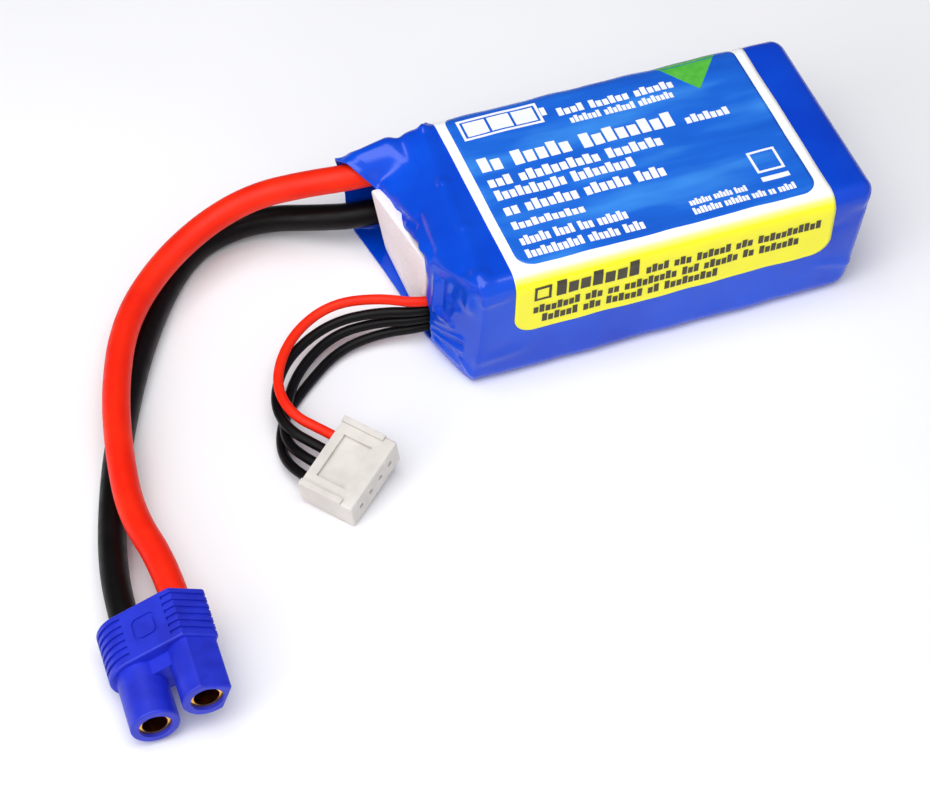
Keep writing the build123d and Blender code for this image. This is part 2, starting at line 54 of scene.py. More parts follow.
def addNode(tree, kind, settings=None, links=None, stops=()):
    # one shader node: its properties and socket values, the nodes that feed it (a node alone
    # stands for its first output), and its colour stops as (position, hex colour)
    node = tree.nodes.new("ShaderNode" + kind)
    for key, value in (settings or {}).items():
        if isinstance(key, str) and hasattr(node, key):
            setattr(node, key, value)
        else:
            node.inputs[key].default_value = value
    for key, source in (links or {}).items():
        output = source[0].outputs[source[1]] if isinstance(source, tuple) else source.outputs[0]
        tree.links.new(output, node.inputs[key])
    for place, (position, colour) in enumerate(stops):
        if place >= len(node.color_ramp.elements):
            node.color_ramp.elements.new(position)
        node.color_ramp.elements[place].position = position
        node.color_ramp.elements[place].color = linearColour(colour)
    return node


def startMaterial(name):
    # an empty material and the object's own coordinates
    material = bpy.data.materials.new(name)
    material.use_nodes = True
    material.node_tree.nodes.clear()
    place = (addNode(material.node_tree, "TexCoord"), "Object")
    return material, material.node_tree, place


def finishMaterial(tree, settings, links):
    # the Principled shader with its own numbers and what feeds it, and the output
    shader = addNode(tree, "BsdfPrincipled", settings, links)
    addNode(tree, "OutputMaterial", {}, {"Surface": shader})


def gridMesh(name, points, closeAcross=False, smooth=True):
    # quads over a rows x columns array of points, or over several stacked patches of them;
    # closeAcross joins the last column to the first
    rows, columns = points.shape[-3:-1]
    index = np.arange(points[..., 0].size).reshape(-1, rows, columns)
    if closeAcross:
        index = np.concatenate([index, index[:, :, :1]], axis=2)
    quads = np.stack([index[:, :-1, :-1], index[:, :-1, 1:], index[:, 1:, 1:], index[:, 1:, :-1]],
                     axis=-1).reshape(-1, 4)
    mesh = bpy.data.meshes.new(name)
    mesh.vertices.add(index.max() + 1)
    mesh.vertices.foreach_set("co", (points * mm).astype(np.float32).ravel())
    mesh.loops.add(quads.size)
    mesh.loops.foreach_set("vertex_index", quads.astype(np.int32).ravel())
    mesh.polygons.add(len(quads))
    mesh.polygons.foreach_set("loop_start", np.arange(0, quads.size, 4, dtype=np.int32))
    mesh.polygons.foreach_set("use_smooth", np.full(len(quads), smooth))
    mesh.update(calc_edges=True)
    mesh.validate()
    piece = bpy.data.objects.new(name, mesh)
    bpy.context.scene.collection.objects.link(piece)
    return piece


def addWall(piece, thickness):
    # gives a sheet its thickness, inwards from the surface
    wall = piece.modifiers.new("wall", "SOLIDIFY")
    wall.thickness = thickness * mm
    wall.offset = -1
    wall.use_even_offset = False


def joinFrame(piece, material, replaced=()):
    piece.data.materials.append(material)
    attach(piece, "root")
    if replaced:
        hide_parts(*replaced)


def makeShrinkFilm():
    # blown PVC heat-shrink film: deep even blue and a wet-looking gloss, with faint drawn marks
    film, tree, place = startMaterial("blownPvcFilm")
    cloud = addNode(tree, "TexNoise", {"Scale": 1 / (14 * mm), "Detail": 2}, {"Vector": place})
    colour = addNode(tree, "ValToRGB", {}, {"Fac": cloud}, [(0.35, "003EC6"), (0.65, "044ED8")])
    haze = addNode(tree, "TexNoise", {"Scale": 1 / (5 * mm), "Detail": 2}, {"Vector": place})
    gloss = addNode(tree, "MapRange", {"From Min": 0.3, "From Max": 0.7, "To Min": 0.16,
                                       "To Max": 0.24}, {"Value": haze})
    drawn = addNode(tree, "Mapping", {"Scale": (0.3, 1.0, 1.0)}, {"Vector": place})
    marks = addNode(tree, "TexNoise", {"Scale": 1 / (4 * mm), "Detail": 1}, {"Vector": drawn})
    relief = addNode(tree, "Bump", {"Strength": 0.6, "Distance": 0.04 * mm}, {"Height": marks})
    finishMaterial(tree, {"IOR": 1.54, "Specular IOR Level": 0.36},
                   {"Base Color": colour, "Roughness": gloss, "Normal": relief})
    return film


def makeLabelVinyl():
    # gloss white vinyl with a yellow band printed down the near side; the soft white-to-yellow fade
    # over the rounded near edge is partly the print's edge and partly a painted highlight on the
    # curve
    vinyl, tree, place = startMaterial("printedVinyl")
    axes = addNode(tree, "SeparateXYZ", {}, {"Vector": place})
    down = addNode(tree, "Math", {"operation": "ADD"}, {0: (axes, "Y"), 1: (axes, "Z")})
    # painted highlight: the white fading into yellow over the rounded near-top edge stands partly
    # for the sheen on the curve, partly for where the yellow print ends
    printAndSheenFade = addNode(tree, "MapRange", {"From Min": 4.3 * mm, "From Max": 1.9 * mm}, {"Value": down})
    colour = addNode(tree, "ValToRGB", {}, {"Fac": printAndSheenFade},
                     [(0.0, "FFFFFF"), (0.5, "FFFC8A"), (1.0, "FEF71E")])
    wave = addNode(tree, "TexNoise", {"Scale": 1 / (7 * mm), "Detail": 1}, {"Vector": place})
    relief = addNode(tree, "Bump", {"Distance": 0.02 * mm}, {"Height": wave})
    finishMaterial(tree, {"Roughness": 0.3, "IOR": 1.5}, {"Base Color": colour, "Normal": relief})
    return vinyl


def makePanelInk():
    # blue print under clear film: a mid blue with long soft lighter streaks
    ink, tree, place = startMaterial("printedBlue")
    turned = addNode(tree, "Mapping", {"Rotation": (0, 0, 0.35), "Scale": (0.22, 1.0, 1.0)},
                     {"Vector": place})
    streak = addNode(tree, "TexNoise", {"Scale": 1 / (6.5 * mm), "Detail": 3}, {"Vector": turned})
    colour = addNode(tree, "ValToRGB", {}, {"Fac": streak},
                     [(0.28, "0F52C2"), (0.5, "1868DA"), (0.74, "4298F2")])
    wave = addNode(tree, "TexNoise", {"Scale": 1 / (8 * mm), "Detail": 1}, {"Vector": place})
    relief = addNode(tree, "Bump", {"Distance": 0.02 * mm}, {"Height": wave})
    finishMaterial(tree, {"Roughness": 0.26, "IOR": 1.5}, {"Base Color": colour, "Normal": relief})
    return ink


def makeInk(name, hexText, second):
    # screen-printed ink: flat and opaque, a little uneven in weight
    ink, tree, place = startMaterial(name)
    weight = addNode(tree, "TexNoise", {"Scale": 1 / (1.5 * mm)}, {"Vector": place})
    colour = addNode(tree, "ValToRGB", {}, {"Fac": weight}, [(0.3, hexText), (0.7, second)])
    gloss = addNode(tree, "MapRange", {"To Min": 0.3, "To Max": 0.4}, {"Value": weight})
    finishMaterial(tree, {"IOR": 1.5}, {"Base Color": colour, "Roughness": gloss})
    return ink


def makeSilicone(name, hexText, second, roughness, specular):
    # extruded silicone insulation: soft satin, faintly uneven in colour, with talc-fine grain
    rubber, tree, place = startMaterial(name)
    cloud = addNode(tree, "TexNoise", {"Scale": 1 / (6 * mm)}, {"Vector": place})
    colour = addNode(tree, "ValToRGB", {}, {"Fac": cloud}, [(0.3, hexText), (0.7, second)])
    haze = addNode(tree, "TexNoise", {"Scale": 1 / (2 * mm)}, {"Vector": place})
    gloss = addNode(tree, "MapRange", {"From Min": 0.3, "From Max": 0.7, "To Min": roughness - 0.06,
                                       "To Max": roughness + 0.08}, {"Value": haze})
    grain = addNode(tree, "TexNoise", {"Scale": 1 / (0.35 * mm)}, {"Vector": place})
    relief = addNode(tree, "Bump", {"Distance": 0.008 * mm}, {"Height": grain})
    finishMaterial(tree, {"IOR": 1.42, "Specular IOR Level": specular},
                   {"Base Color": colour, "Roughness": gloss, "Normal": relief})
    return rubber


def makeNylon(name, hexText, second, roughness, glow):
    # injection-moulded nylon: satin, with the mould's spark-eroded grain drawn 0.25 mm coarse;
    # natural nylon lets some light in, which softens its edges
    nylon, tree, place = startMaterial(name)
    cloud = addNode(tree, "TexNoise", {"Scale": 1 / (3 * mm)}, {"Vector": place})
    colour = addNode(tree, "ValToRGB", {}, {"Fac": cloud}, [(0.3, hexText), (0.7, second)])
    grain = addNode(tree, "TexNoise", {"Scale": 1 / (0.25 * mm)}, {"Vector": place})
    relief = addNode(tree, "Bump", {"Distance": 0.01 * mm}, {"Height": grain})
    finishMaterial(tree, {"Roughness": roughness, "IOR": 1.53, "Specular IOR Level": 0.4,
                          "Subsurface Weight": glow, "Subsurface Scale": 1.2 * mm,
                          "Subsurface Radius": (1.0, 0.95, 0.9)},
                   {"Base Color": colour, "Normal": relief})
    return nylon


def makeMetal(name, hexText, second, roughness, scratch=0.6):
    # drawn or plated metal: bright, with fine handling marks and slightly uneven tarnish
    metal, tree, place = startMaterial(name)
    marks = addNode(tree, "TexNoise", {"Scale": 1 / (scratch * mm), "Detail": 4}, {"Vector": place})
    colour = addNode(tree, "ValToRGB", {}, {"Fac": marks}, [(0.3, hexText), (0.7, second)])
    gloss = addNode(tree, "MapRange", {"From Min": 0.3, "From Max": 0.7, "To Min": roughness * 0.7,
                                       "To Max": roughness * 1.4}, {"Value": marks})
    relief = addNode(tree, "Bump", {"Distance": 0.01 * mm}, {"Height": marks})
    finishMaterial(tree, {"Metallic": 1.0},
                   {"Base Color": colour, "Roughness": gloss, "Normal": relief})
    return metal


def makeCard(name, hexText, second, roughness=0.75):
    # pressed card or paper: matt, with short fibres about 0.5 mm apart
    card, tree, place = startMaterial(name)
    fibre = addNode(tree, "TexNoise", {"Scale": 1 / (0.5 * mm), "Detail": 4, "Roughness": 0.7},
                    {"Vector": place})
    colour = addNode(tree, "ValToRGB", {}, {"Fac": fibre}, [(0.3, hexText), (0.7, second)])
    relief = addNode(tree, "Bump", {"Distance": 0.03 * mm}, {"Height": fibre})
    finishMaterial(tree, {"Roughness": roughness, "IOR": 1.45},
                   {"Base Color": colour, "Normal": relief})
    return card


shrinkFilm = makeShrinkFilm()
labelVinyl = makeLabelVinyl()
panelInk = makePanelInk()
whiteInk = makeInk("printedWhite", "F4F8FF", "FFFFFF")
darkInk = makeInk("printedDark", "2A2408", "3A3310")
greenInk = makeInk("printedGreen", "48B23A", "62C446")
redSilicone = makeSilicone("redSilicone", "EC1E02", "F82C08", 0.46, 0.3)
blackSilicone = makeSilicone("blackSilicone", "040304", "090708", 0.42, 0.22)
blueNylon = makeNylon("mouldedBlueNylon", "1826B4", "2032CA", 0.45, 0.0)
whiteNylon = makeNylon("naturalNylon", "CDC8C2", "DAD5CF", 0.42, 0.35)
goldPlate = makeMetal("goldPlate", "E8A840", "F4BC5C", 0.16)
tinPlate = makeMetal("tinPlate", "B0AFAB", "BDBCB8", 0.35)
nickelStrip = makeMetal("rolledNickel", "ABA69C", "B9B4AA", 0.3)
cellFoil = makeMetal("laminatedFoil", "BEC0C4", "CACCD0", 0.38, 2.0)
solderTin = makeMetal("solderTin", "A9A9A9", "B9B9B9", 0.28)
padCard = makeCard("whiteCard", "F4EBEE", "FDF8FA")
wrapPaper = makeCard("kraftPaper", "A9885A", "BE9C6C")
glueFilm = makeCard("glueFilm", "D8D3C2", "E6E1D2", 0.55)
boardLaminate = makeCard("glassLaminate", "0E4A22", "16602E", 0.4)

nodeFinish = {
    blueNylon: ["power_plug_housing"],
    whiteNylon: ["balance_plug_housing"],
    goldPlate: ["positive_socket", "negative_socket"],
    tinPlate: [f"balance_contact_{k}" for k in (1, 2, 3, 4)],
    nickelStrip: ["series_link_1", "series_link_2", "positive_bus", "negative_bus",
                  "negative_tab_1", "negative_tab_2", "negative_tab_3"],
    cellFoil: ["cell_1", "cell_2", "cell_3", "positive_tab_1", "positive_tab_2",
               "positive_tab_3"],
    solderTin: ["positive_joint", "negative_joint", "balance_joints", "positive_lead_end",
                "negative_lead_end"],
    padCard: ["rear_pad"],
    wrapPaper: ["stack_wrap"],
    glueFilm: ["glue_pad_1", "glue_pad_2"],
    boardLaminate: ["tab_board"]}
for material, names in nodeFinish.items():
    for name in names:
        nodes[name].data.materials.clear()
        nodes[name].data.materials.append(material)
print("materials made:", len(bpy.data.materials))


leads = {
    "positive": {
        "diameter": 4.0, "length": 106.6, "exit": (-34.0, 15.1, 14.5), "stiffness": "medium",
        "on": ["power_plug_housing", "positive_socket", "positive_lead_end"],
        "material": redSilicone, "slot": "red_silicone",
        "route": [
            (-26.0, 15.0, 14.6), (-33.5, 15.0, 14.6), (-40.5, 17.4, 13.1), (-48.0, 19.5, 11.0),
            (-56.0, 18.4, 8.8), (-64.5, 13.8, 7.1), (-72.0, 5.8, 6.4), (-76.8, -5.5, 6.3),
            (-79.6, -17.0, 6.4), (-81.2, -28.5, 6.7), (-79.5, -38.8, 7.4),
            (-79.95, -47.55, 7.45)]},
    "negative": {
        "diameter": 4.0, "length": 108.6, "exit": (-33.0, 15.0, 6.2), "stiffness": "medium",
        "on": ["negative_socket", "negative_lead_end"],
        "material": blackSilicone, "slot": "black_silicone",
        "route": [
            (-26.0, 14.8, 6.2), (-32.6, 14.8, 6.2), (-38.6, 17.6, 5.0), (-44.6, 21.2, 3.5),
            (-51.2, 22.2, 2.5), (-57.8, 20.0, 2.1), (-64.0, 13.5, 2.1), (-70.0, 4.6, 2.1),
            (-75.4, -5.6, 2.1), (-79.8, -15.4, 2.1), (-83.2, -25.0, 2.3), (-85.3, -32.8, 3.2),
            (-86.5, -39.8, 4.1), (-87.0, -47.2, 4.15)]},
    "balance_1": {
        "diameter": 1.5, "length": 51.3, "exit": (-30.6, -6.7, 8.2), "stiffness": "limp",
        "on": ["balance_plug_housing", "balance_contact_1"],
        "material": redSilicone, "slot": "red_silicone",
        "route": [
            (-25.2, -6.7, 8.2), (-30.6, -6.7, 8.2), (-36.2, -2.9, 7.7), (-43.2, -0.9, 6.7),
            (-50.2, -4.2, 5.8), (-54.9, -11.2, 5.5), (-54.7, -17.6, 5.3), (-50.9, -21.7, 4.6),
            (-48.1, -25.25, 4.5)]},
    "balance_2": {
        "diameter": 1.5, "length": 50.7, "exit": (-30.6, -6.7, 6.5), "stiffness": "limp",
        "on": ["balance_contact_2"],
        "material": blackSilicone, "slot": "black_silicone",
        "route": [
            (-25.2, -6.7, 6.5), (-30.7, -6.7, 6.5), (-36.9, -3.9, 5.9), (-44.0, -2.8, 4.8),
            (-51.6, -6.4, 3.9), (-55.8, -13.2, 3.9), (-55.8, -19.0, 4.2), (-52.8, -23.2, 4.05),
            (-50.05, -26.75, 4.0)]},
    "balance_3": {
        "diameter": 1.5, "length": 49.5, "exit": (-30.6, -6.7, 4.8), "stiffness": "limp",
        "on": ["balance_contact_3"],
        "material": blackSilicone, "slot": "black_silicone",
        "route": [
            (-25.2, -6.7, 4.8), (-30.7, -6.7, 4.8), (-36.9, -4.3, 4.1), (-43.6, -3.6, 3.0),
            (-50.4, -8.0, 2.4), (-54.4, -14.3, 2.35), (-56.3, -19.9, 2.7), (-54.9, -24.4, 3.45),
            (-51.95, -28.25, 3.5)]},
    "balance_4": {
        "diameter": 1.5, "length": 49.6, "exit": (-30.6, -6.7, 3.1), "stiffness": "limp",
        "on": ["balance_contact_4"],
        "material": blackSilicone, "slot": "black_silicone",
        "route": [
            (-25.2, -6.7, 3.1), (-30.7, -6.7, 3.1), (-36.6, -5.0, 2.3), (-43.2, -5.2, 1.2),
            (-49.8, -9.9, 0.85), (-55.0, -14.8, 0.85), (-57.2, -20.6, 1.2), (-56.7, -26.1, 2.85),
            (-53.9, -29.75, 2.95)]}}


def makeLead(name, lead):
    # a round section carried along one smooth spline whose control points are the route
    curve = bpy.data.curves.new(name, "CURVE")
    curve.dimensions = "3D"
    curve.bevel_depth = lead["diameter"] / 2 * mm
    curve.bevel_resolution = 8
    curve.resolution_u = 14
    curve.use_fill_caps = True
    spline = curve.splines.new("NURBS")
    spline.points.add(len(lead["route"]) - 1)
    for point, (x, y, z) in zip(spline.points, lead["route"]):
        point.co = (x * mm, y * mm, z * mm, 1)
    spline.order_u = 3
    spline.use_endpoint_u = True
    piece = bpy.data.objects.new(name, curve)
    bpy.context.scene.collection.objects.link(piece)
    return piece


for name, lead in leads.items():
    number = name.split("_")[-1]
    cadName = f"balance_lead_{number}" if name.startswith("balance") else f"{name}_lead"
    piece = makeLead(f"{cadName}_silicone", lead)
    joinFrame(piece, lead["material"], [cadName])
print("leads laid:", len(leads))


# Round the pack, a place is given by its distance along the section from the middle of the
# underside: near edge at 15 to 19, near side, near top edge 34 to 38, top, far edge 68 to 72,
# far side, far bottom edge 88 to 92, and 106.5 is back at the start.
section = {"width": 35.0, "height": 20.4, "radius": 2.5}
sleeve = {
    "around": 300, "wall": 0.35,
    "frontRows": 48, "bodyRows": 60, "edgeRows": 10, "endRows": 14,
    # where the sleeve leaves the stack at the front: place round the section, x
    "crease": [(0, -26.4), (15, -26.6), (19, -26.5), (26, -26.0), (34, -25.6), (38, -25.9),
               (53, -24.4), (68, -22.7), (72, -22.4), (80, -23.0), (88, -25.0), (92, -26.0)],
    # edge of the mouth: place, x, y, z
    "mouth": [
        (0, -30.6, 3.0, 0.2), (9, -30.1, -1.5, 0.2), (15, -29.9, -4.6, 0.25),
        (18, -30.0, -7.6, 1.4), (22, -30.1, -8.2, 4.5), (27, -30.1, -8.0, 8.4),
        (30, -30.2, -6.4, 10.5), (34, -30.1, -5.8, 14.0), (38, -29.9, -4.6, 15.9),
        (44, -29.9, -2.2, 16.0), (50, -30.1, 1.0, 14.8), (55, -30.2, 4.5, 13.6),
        (60, -30.6, 9.0, 13.3), (64, -31.6, 12.2, 14.0), (67, -33.2, 13.4, 16.2),
        (70, -34.8, 15.4, 17.3), (74, -35.6, 17.8, 16.4), (78, -35.0, 18.5, 13.0),
        (83, -33.9, 18.1, 8.0), (88, -33.1, 18.3, 3.0), (91.5, -32.8, 17.6, 0.3),
        (98, -31.9, 12.5, 0.2), (102.5, -31.2, 8.0, 0.2)],
    # which way, and how far, the film leaves the crease and comes to the mouth
    "leave": [
        (0, -4, 0, 0), (14, -3, 2, 0), (19, -4.5, 9, 0), (34, -4.5, 9, 0), (39, -6, 5, -3),
        (46, -6, 2, -4), (58, -7, 0, -3.5), (66, -9, 0, -1), (72, -11, 0, 0), (88, -9, 0, 0),
        (93, -6, 0, 0)],
    "arrive": [
        (0, -4, 0, 0), (13, -2, 3, 0), (19, -1, 9, 0), (33, -1, 9, 0), (39, -2, 5, -2),
        (46, -3, 2, -7), (58, -3, 0, -7), (65, -6, -1, -4), (70, -8, -1, -2), (76, -9, 2, 0),
        (88, -7, 1, 0), (93, -6, 0, 0)],
    "bodyRear": 31.0,
    "rearX": (33.6, 0.115),          # end plane at the floor, and how much it leans out per mm
    "rearRadius": (2.2, 0.9, 2.5),   # rear edge, how much more at the floor, and over what height
    "oval": (11.0, 4.5, 0.4),        # half width, half height, how far it is drawn in
    "lip": (0.3, 0.8, 0.22),         # the mouth's rolled edge: height, width, pucker
    "lipFrom": 2.0,                  # the roll comes up from nothing over this height
    # sines as (share or mm, turns of the angle, start)
    "wander": ((0.6, 0.42, 0), (0.4, 1.0, 1)),
    "ripple": ((0.16, 17, 0), (0.1, 29, 1)),
    "bow": 0.5,                      # how far the rear end bows out between its edge and the oval
    "calmRows": 9,                   # over these rows from the mouth the folds come up from nothing
    # folds and bulges: start, end, half width, height out of the surface
    "folds": [
        ((-22.8, 15.5, 20.3), (-23.9, 4.4, 20.4), 0.8, 0.28),
        ((-23.9, 4.4, 20.4), (-24.2, -5.0, 20.4), 0.8, 0.3),
        ((-24.2, -5.0, 20.4), (-25.1, -16.0, 20.2), 0.8, 0.34),
        ((-22.6, 15.6, 20.3), (-21.8, 17.0, 19.6), 0.7, 0.6),
        ((-33.0, 16.0, 17.2), (-28.6, 15.6, 18.8), 2.2, 0.8),
        ((-26.3, 17.0, 19.0), (-26.2, 9.0, 19.7), 0.9, -0.45),
        ((-30.0, 10.6, 15.2), (-28.9, 4.2, 16.3), 1.5, 0.55),
        ((-29.7, 6.0, 14.7), (-29.3, 1.4, 16.4), 0.5, -0.5),
        ((-29.6, 2.6, 15.0), (-29.5, -5.5, 15.9), 0.7, 0.45),
        ((-28.4, 2.0, 17.2), (-28.6, -5.0, 17.4), 0.6, -0.3),
        ((-29.4, -8.3, 14.8), (-29.9, -8.8, 9.4), 0.55, 0.42),
        ((-28.9, -9.8, 15.4), (-29.3, -10.2, 10.6), 0.5, -0.35),
        ((-29.5, -10.1, 9.3), (-28.6, -12.2, 9.8), 0.55, 0.4),
        ((-28.6, -12.2, 9.8), (-27.9, -13.3, 12.8), 0.6, 0.34),
        ((-25.3, -14.3, 20.0), (-27.0, -15.2, 15.2), 1.0, 0.45),
        ((-26.4, -12.2, 19.0), (-28.1, -11.2, 14.2), 0.9, -0.4),
        ((-25.5, -17.5, 17.2), (-22.4, -17.5, 17.5), 0.5, 0.22),
        ((-30.1, -8.4, 7.2), (-28.5, -12.9, 9.0), 0.4, 0.34),
        ((-30.1, -8.4, 6.0), (-27.6, -14.5, 8.0), 0.42, 0.36),
        ((-30.1, -8.6, 5.3), (-27.6, -14.8, 6.8), 0.34, -0.34),
        ((-30.1, -8.4, 4.7), (-27.7, -14.6, 5.7), 0.42, 0.36),
        ((-30.1, -8.6, 4.0), (-27.7, -14.7, 4.2), 0.34, -0.32),
        ((-30.1, -8.2, 3.2), (-27.8, -14.4, 2.7), 0.42, 0.34),
        ((-28.2, -13.8, 4.6), (-26.8, -16.6, 2.2), 0.5, 0.3),
        ((-25.6, -17.5, 5.4), (-20.4, -17.5, 5.9), 1.0, 0.26),
        ((28.6, -17.5, 7.0), (33.4, -17.5, 5.2), 0.8, 0.3),
        ((29.5, -17.5, 14.0), (34.5, -17.4, 16.5), 0.8, -0.22),
        ((33.0, -13.0, 20.3), (32.6, 4.0, 20.3), 0.9, 0.16),
        ((30.6, 6.0, 20.3), (33.0, 16.0, 20.0), 0.9, 0.2)]}


def sectionAt(place):
    # a rounded rectangle by arc length: quarter circles about four corner centres, joined by
    # the flats; gives y, z and the outward normal's y, z
    radius = section["radius"]
    halfWidth = section["width"] / 2 - radius
    height = section["height"]
    turn = np.linspace(0, np.pi / 2, 9)
    angle = np.concatenate([-np.pi / 2 - turn, -np.pi - turn, -np.pi * 3 / 2 - turn,
                            -np.pi * 2 - turn])
    centreY = np.repeat([-halfWidth, -halfWidth, halfWidth, halfWidth], 9)
    centreZ = np.repeat([radius, height - radius, height - radius, radius], 9)
    y = np.concatenate([[0], centreY + radius * np.cos(angle), [0]])
    z = np.concatenate([[0], centreZ + radius * np.sin(angle), [0]])
    normalY = np.concatenate([[0], np.cos(angle), [0]])
    normalZ = np.concatenate([[-1], np.sin(angle), [-1]])
    along = np.concatenate([[0], np.cumsum(np.hypot(np.diff(y), np.diff(z)))])
    place = np.mod(place, along[-1])
    return [np.interp(place, along, each) for each in (y, z, normalY, normalZ)]


def perimeter():
    radius = section["radius"]
    flats = 2 * (section["width"] + section["height"] - 4 * radius)
    return flats + 2 * np.pi * radius


def loopThrough(rows, place, smooth):
    # straight runs between the given rows, then a moving average round the closed loop
    rows = np.array(rows, float)
    whole = perimeter()
    values = np.stack([np.interp(place, rows[:, 0], each, period=whole)
                       for each in rows[:, 1:].T], axis=-1)
    count = max(1, int(round(smooth / whole * len(place))))
    shifts = range(-count, count + 1)
    weight = np.array([1 + np.cos(np.pi * k / (count + 1)) for k in shifts])
    moved = np.stack([np.roll(values, k, axis=0) for k in shifts])
    return np.tensordot(weight / weight.sum(), moved, axes=1)


def swell(x, place):
    # soft waves of the film over the cells: a few sines in x and round the section, in mm
    return (0.07 * np.sin(x * 0.21 + 1.0) * np.sin(place * 0.27 + 0.4)
            + 0.05 * np.sin(x * 0.53 + place * 0.31)
            + 0.03 * np.sin(x * 0.95 - place * 0.6 + 2.0))


def bodyPoint(x, place, out=0.0):
    # a point of the sleeve's body: the section at x, moved out along its normal
    y, z, normalY, normalZ = sectionAt(place)
    lift = out + swell(x, place) * (normalZ > -0.7)
    return np.stack([x + 0 * y, y + normalY * lift, z + normalZ * lift], axis=-1)


def sineSum(angle, sines):
    # the sum of height times sin(turns * angle + start)
    return sum(height * np.sin(angle * turns + start) for height, turns, start in sines)


def foldOut(points):
    # moves a surface along its own normals by a sum of ridges: height times exp(-(d/w) squared),
    # where d is the distance to the ridge's line and w its half width
    across = np.roll(points, -1, axis=1) - np.roll(points, 1, axis=1)
    normal = np.cross(across, np.gradient(points, axis=0))
    normal /= np.linalg.norm(normal, axis=-1, keepdims=True) + 1e-9
    lift = np.zeros(points.shape[:2])
    for start, end, halfWidth, height in sleeve["folds"]:
        start, line = np.array(start), np.subtract(end, start)
        share = np.clip((points - start) @ line / (line @ line), 0, 1)
        distance = np.linalg.norm(points - start - share[..., None] * line, axis=-1)
        lift += height * np.exp(-(distance / halfWidth) ** 2)
    lift *= np.clip(np.arange(len(points)) / sleeve["calmRows"], 0.15, 1)[:, None]
    return points - normal * lift[..., None]


def sleeveRows():
    # rows from the mouth back to the oval at the rear, each once round the section
    place = np.arange(sleeve["around"]) * perimeter() / sleeve["around"]
    crease = loopThrough(sleeve["crease"], place, 1.5)[:, 0]
    mouth = loopThrough(sleeve["mouth"], place, 1.2)
    leave = loopThrough(sleeve["leave"], place, 1.0)
    arrive = loopThrough(sleeve["arrive"], place, 1.0)
    start = bodyPoint(crease, place)
    # front: a cubic from the crease to the mouth with the given directions at its two ends
    t = np.linspace(1, 0, sleeve["frontRows"])[:, None, None]
    front = ((2 * t ** 3 - 3 * t ** 2 + 1) * start + (t ** 3 - 2 * t ** 2 + t) * leave
             + (3 * t ** 2 - 2 * t ** 3) * mouth + (t ** 3 - t ** 2) * arrive)
    # its last stretch rolls out, and the edge wanders a little in x
    y, z, normalY, normalZ = sectionAt(place)
    height, width, pucker = sleeve["lip"]
    above = np.clip(front[..., 2:] / sleeve["lipFrom"], 0, 1)
    roll = np.exp(-(np.linalg.norm(front - mouth, axis=-1, keepdims=True) / width) ** 2) * above
    outward = np.stack([0 * y, normalY, np.maximum(normalZ, 0)], axis=-1)
    wander = sineSum(place, sleeve["wander"]) * above[..., 0]
    front = front + roll * height * outward
    front[..., 0] += pucker * t[..., 0] ** 3 * wander
    # body: the section carried from the crease to where the rear edge starts
    share = np.linspace(0, 1, sleeve["bodyRows"])[1:, None]
    x = crease + share * (sleeve["bodyRear"] - crease)
    body = bodyPoint(x, place + 0 * x)
    # rear edge: a quarter round from the body into the end plane, which leans outwards
    endX = sleeve["rearX"][0] + sleeve["rearX"][1] * z
    least, more, over = sleeve["rearRadius"]
    radius = least + more * np.exp(-z / over)
    angle = np.linspace(0, np.pi / 2, sleeve["edgeRows"])[1:, None]
    inward = radius * (1 - np.cos(angle))
    edgeX = (endX - radius) + radius * np.sin(angle)
    edge = np.stack([edgeX, y - normalY * inward, z - normalZ * inward], axis=-1)
    # end: straight in from that edge to the oval, puckered by the shrinking
    centreZ = section["height"] / 2
    bearing = np.arctan2((z - centreZ) / centreZ, y / (section["width"] / 2))
    halfWide, halfHigh, drawnIn = sleeve["oval"]
    oval = np.stack([endX - drawnIn, halfWide * np.cos(bearing),
                     centreZ + halfHigh * np.sin(bearing)], axis=-1)
    share = np.linspace(0, 1, sleeve["endRows"])[1:, None]
    end = edge[-1] + share[..., None] * (oval - edge[-1])
    ripple = sineSum(bearing, sleeve["ripple"])
    end[..., 0] += (ripple * np.sin(share * np.pi * 0.5) ** 2
                    + sleeve["bow"] * np.sin(share * np.pi))
    return np.concatenate([foldOut(np.concatenate([front, body, edge])), end])


# x of the pad's near edge, how far the face crowns, its edge radius, and the shares of the way
# from the middle of the face to its edge that get a row of points
pad = {
    "corner": 1.2, "near": -29.6, "crown": 0.18, "edge": 0.35, "around": 80, "edgeRows": 5,
    "rings": (0, 0.25, 0.5, 0.75, 0.92)}


def padRows():
    # front face, rounded edge, side and back of the pad, each row once round a rounded rectangle;
    # the face leans out in proportion to both the way across and the height, so that its far
    # top corner stands furthest out and its foot stays behind the film's lower lip
    low, high = (np.array(corner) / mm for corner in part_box("front_pad"))
    turn = np.linspace(0, 2 * np.pi, pad["around"], endpoint=False)
    half = (high[1:] - low[1:]) / 2
    middle = (high[1:] + low[1:]) / 2
    # a circle wider than the pad, held to the corner centres, plus a circle of the corner radius
    circle = np.stack([np.cos(turn), np.sin(turn)], axis=-1)
    centres = np.clip(circle * half.max() * 2, pad["corner"] - half, half - pad["corner"])

    def rowAt(share, inset, depth):
        # share is how far out from the middle, inset how far inside the outline
        flat = middle + (centres + circle * (pad["corner"] - inset)) * share
        across, up = ((flat - low[1:]) / (high[1:] - low[1:])).T
        front = pad["near"] + (low[0] - pad["near"]) * across * up
        x = front - pad["crown"] * (1 - share ** 2) + depth
        return np.stack([np.minimum(x, high[0]), *flat.T], axis=-1)

    rows = [rowAt(share, pad["edge"], 0) for share in pad["rings"]]
    rows += [rowAt(1, pad["edge"] * (1 - np.sin(angle)), pad["edge"] * (1 - np.cos(angle)))
             for angle in np.linspace(0, np.pi / 2, pad["edgeRows"])]
    # back edge and middle of the back, both held to the pad's rear plane
    rows += [rowAt(1, 0, high[0] - low[0]), rowAt(0, 0, 2 * (high[0] - low[0]))]
    return np.stack(rows)


